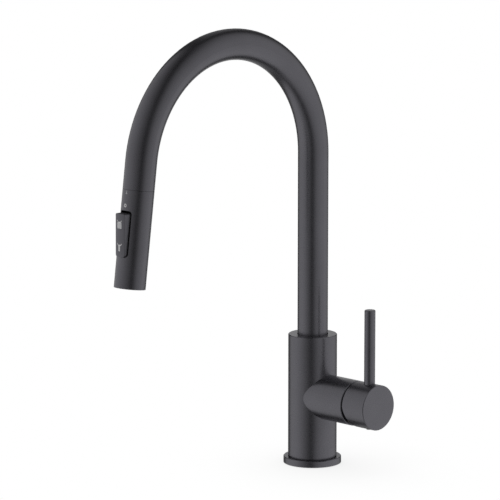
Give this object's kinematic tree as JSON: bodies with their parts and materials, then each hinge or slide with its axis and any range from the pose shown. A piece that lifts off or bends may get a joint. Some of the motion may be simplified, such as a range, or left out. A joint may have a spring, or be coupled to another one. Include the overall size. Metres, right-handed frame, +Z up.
{
  "type": "pull down kitchen faucet",
  "caption": "High-arc single-lever kitchen faucet with a swivelling gooseneck spout and a pull-down spray head that has a rocker button, in satin gunmetal.",
  "frame": {"origin": "middle of the base, on the deck it stands on", "axes": "+Z up, the spout reaches towards -Y and the lever is on the +X side"},
  "size_m": [0.1108, 0.2691, 0.4116],
  "materials": {
    "gunmetal": "satin gunmetal coat over fine brushing",
    "button_coat": "satin grey",
    "dark_plastic": "moulded",
    "pale_plastic": "moulded",
    "cartridge_plastic": "moulded",
    "ceramic_disc": "lapped",
    "brass": "machined",
    "bright_steel": "machined",
    "seal_rubber": "moulded",
    "silicone": "soft",
    "hose_braid": "woven nylon"
  },
  "bodies": {
    "base": {"base_flange": "gunmetal", "base_gasket": "seal_rubber", "faucet_body": "gunmetal", "thrust_washer": "pale_plastic", "stop_screw": "bright_steel", "cartridge_base": "cartridge_plastic", "port_seals": "seal_rubber", "fixed_disc": "ceramic_disc", "cartridge_housing": "cartridge_plastic", "cartridge_nut": "brass", "cartridge_cover": "dark_plastic"},
    "temperature_carrier": {"cartridge_driver": "cartridge_plastic", "stem_pin": "bright_steel"},
    "disc_slide_body": {"moving_disc": "ceramic_disc", "disc_slider": "cartridge_plastic"},
    "lever_handle": {"cartridge_stem": "brass", "handle_cap": "gunmetal", "lever_rod": "gunmetal", "handle_set_screw": "bright_steel", "screw_plug": "dark_plastic"},
    "spout": {"spout_tube": "gunmetal", "spout_stem": "brass", "glide_rings": "pale_plastic", "swivel_o_ring": "seal_rubber", "riser_hose": "hose_braid", "dock_sleeve": "dark_plastic"},
    "hose_end": {"pull_hose": "hose_braid", "hose_ferrule": "bright_steel", "hose_connector": "brass", "connector_o_ring": "seal_rubber"},
    "spray_head": {"spray_shell": "gunmetal", "head_neck": "dark_plastic", "swivel_nut": "pale_plastic", "waterway_core": "dark_plastic", "core_o_ring": "seal_rubber", "rocker_pin": "bright_steel", "nozzle_plate": "dark_plastic", "nozzle_mat": "silicone", "face_plate": "dark_plastic", "aerator": "pale_plastic"},
    "rocker": {"rocker_button": "button_coat"},
    "diverter": {"diverter_plunger": "pale_plastic"}
  },
  "joints": [
    {"name": "spout_swivel", "type": "hinge", "parent": "base", "child": "spout", "pos_m": [0, 0, 0.1], "axis": [0, 0, 1], "continuous": true},
    {"name": "head_pull", "type": "slide", "parent": "spout", "child": "hose_end", "axis": [0, -0.1305, -0.9914], "range_m": [0, 0.19], "deforming": ["pull_hose"]},
    {"name": "head_turn", "type": "hinge", "parent": "hose_end", "child": "spray_head", "pos_m": [0, -0.21714, 0.27943], "axis": [0, -0.1305, -0.9914], "continuous": true},
    {"name": "rocker_toggle", "type": "hinge", "parent": "spray_head", "child": "rocker", "pos_m": [0, -0.22954, 0.24193], "axis": [-1, 0, 0], "range_deg": [0, 14.2]},
    {"name": "diverter_slide", "type": "slide", "parent": "spray_head", "child": "diverter", "axis": [0, -0.9914, 0.1305], "range_m": [0, 0.00325]},
    {"name": "temperature_turn", "type": "hinge", "parent": "base", "child": "temperature_carrier", "pos_m": [0.03, 0, 0.064], "axis": [1, 0, 0], "range_deg": [-50, 50]},
    {"name": "flow_tilt", "type": "hinge", "parent": "temperature_carrier", "child": "lever_handle", "pos_m": [0.047, 0, 0.064], "axis": [0, 1, 0], "range_deg": [0, 15]},
    {"name": "disc_travel", "type": "slide", "parent": "temperature_carrier", "child": "disc_slide_body", "axis": [0, 0, 1], "range_m": [0, 0.00505]}
  ],
  "couplings": [
    {"joint": "diverter_slide", "follows": "rocker_toggle", "m_per_rad": 0.01297},
    {"joint": "disc_travel", "follows": "flow_tilt", "m_per_rad": 0.01915}
  ]
}
